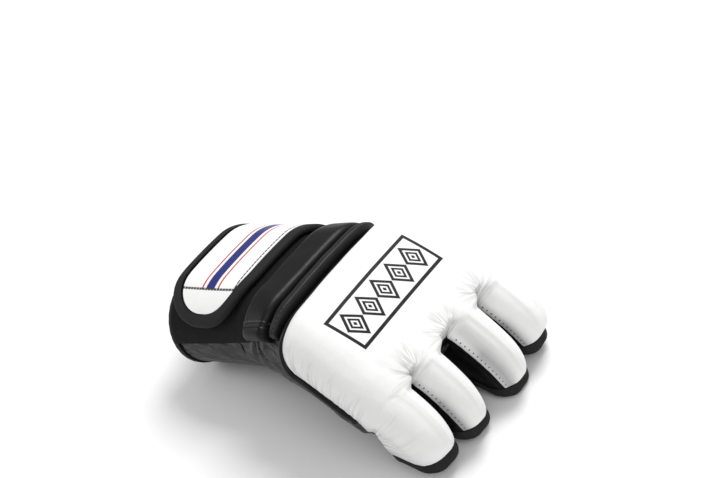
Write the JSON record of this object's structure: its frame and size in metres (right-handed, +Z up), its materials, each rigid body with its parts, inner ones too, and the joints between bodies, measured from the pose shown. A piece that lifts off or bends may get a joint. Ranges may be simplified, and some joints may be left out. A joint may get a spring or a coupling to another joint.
{
  "type": "open-palm sparring glove",
  "caption": "Right-hand open-palm sparring glove with padded back, half-finger sleeves and a hook-and-loop wrist strap, lying palm down.",
  "frame": {"origin": "middle of the underside of the bounding box, in the plane that the glove rests on", "axes": "+Y towards the fingertips, +X towards the little finger's side, -X towards the thumb, +Z up through the padded back of the hand"},
  "size_m": [0.143, 0.196, 0.0773],
  "materials": {
    "white_leather": "satin, softly creased, white",
    "black_leather": "satin, fine grain, black",
    "black_tape": "woven binding tape, black",
    "black_loop": "brushed loop pile, black",
    "black_lining": "knitted lining, black"
  },
  "bodies": {
    "root": {"back_lining": "black_lining", "cuff": "black_leather", "cuff_tape": "black_tape", "hand_pad": "white_leather", "index_sleeve": "black_leather", "index_tape": "black_tape", "index_web": "black_leather", "little_sleeve": "black_leather", "little_tape": "black_tape", "loop_panel": "black_loop", "middle_sleeve": "black_leather", "middle_tape": "black_tape", "middle_web": "black_leather", "pad_piping": "black_leather", "palm_leather": "black_leather", "palm_tape": "black_tape", "ring_sleeve": "black_leather", "ring_tape": "black_tape", "ring_web": "black_leather", "strap": "black_leather", "strap_patch": "white_leather", "strap_tape": "black_tape", "thumb_panel": "white_leather", "thumb_sleeve": "white_leather", "thumb_tape": "black_tape", "wrist_band": "black_leather", "wrist_roll": "black_leather"}
  },
  "joints": []
}
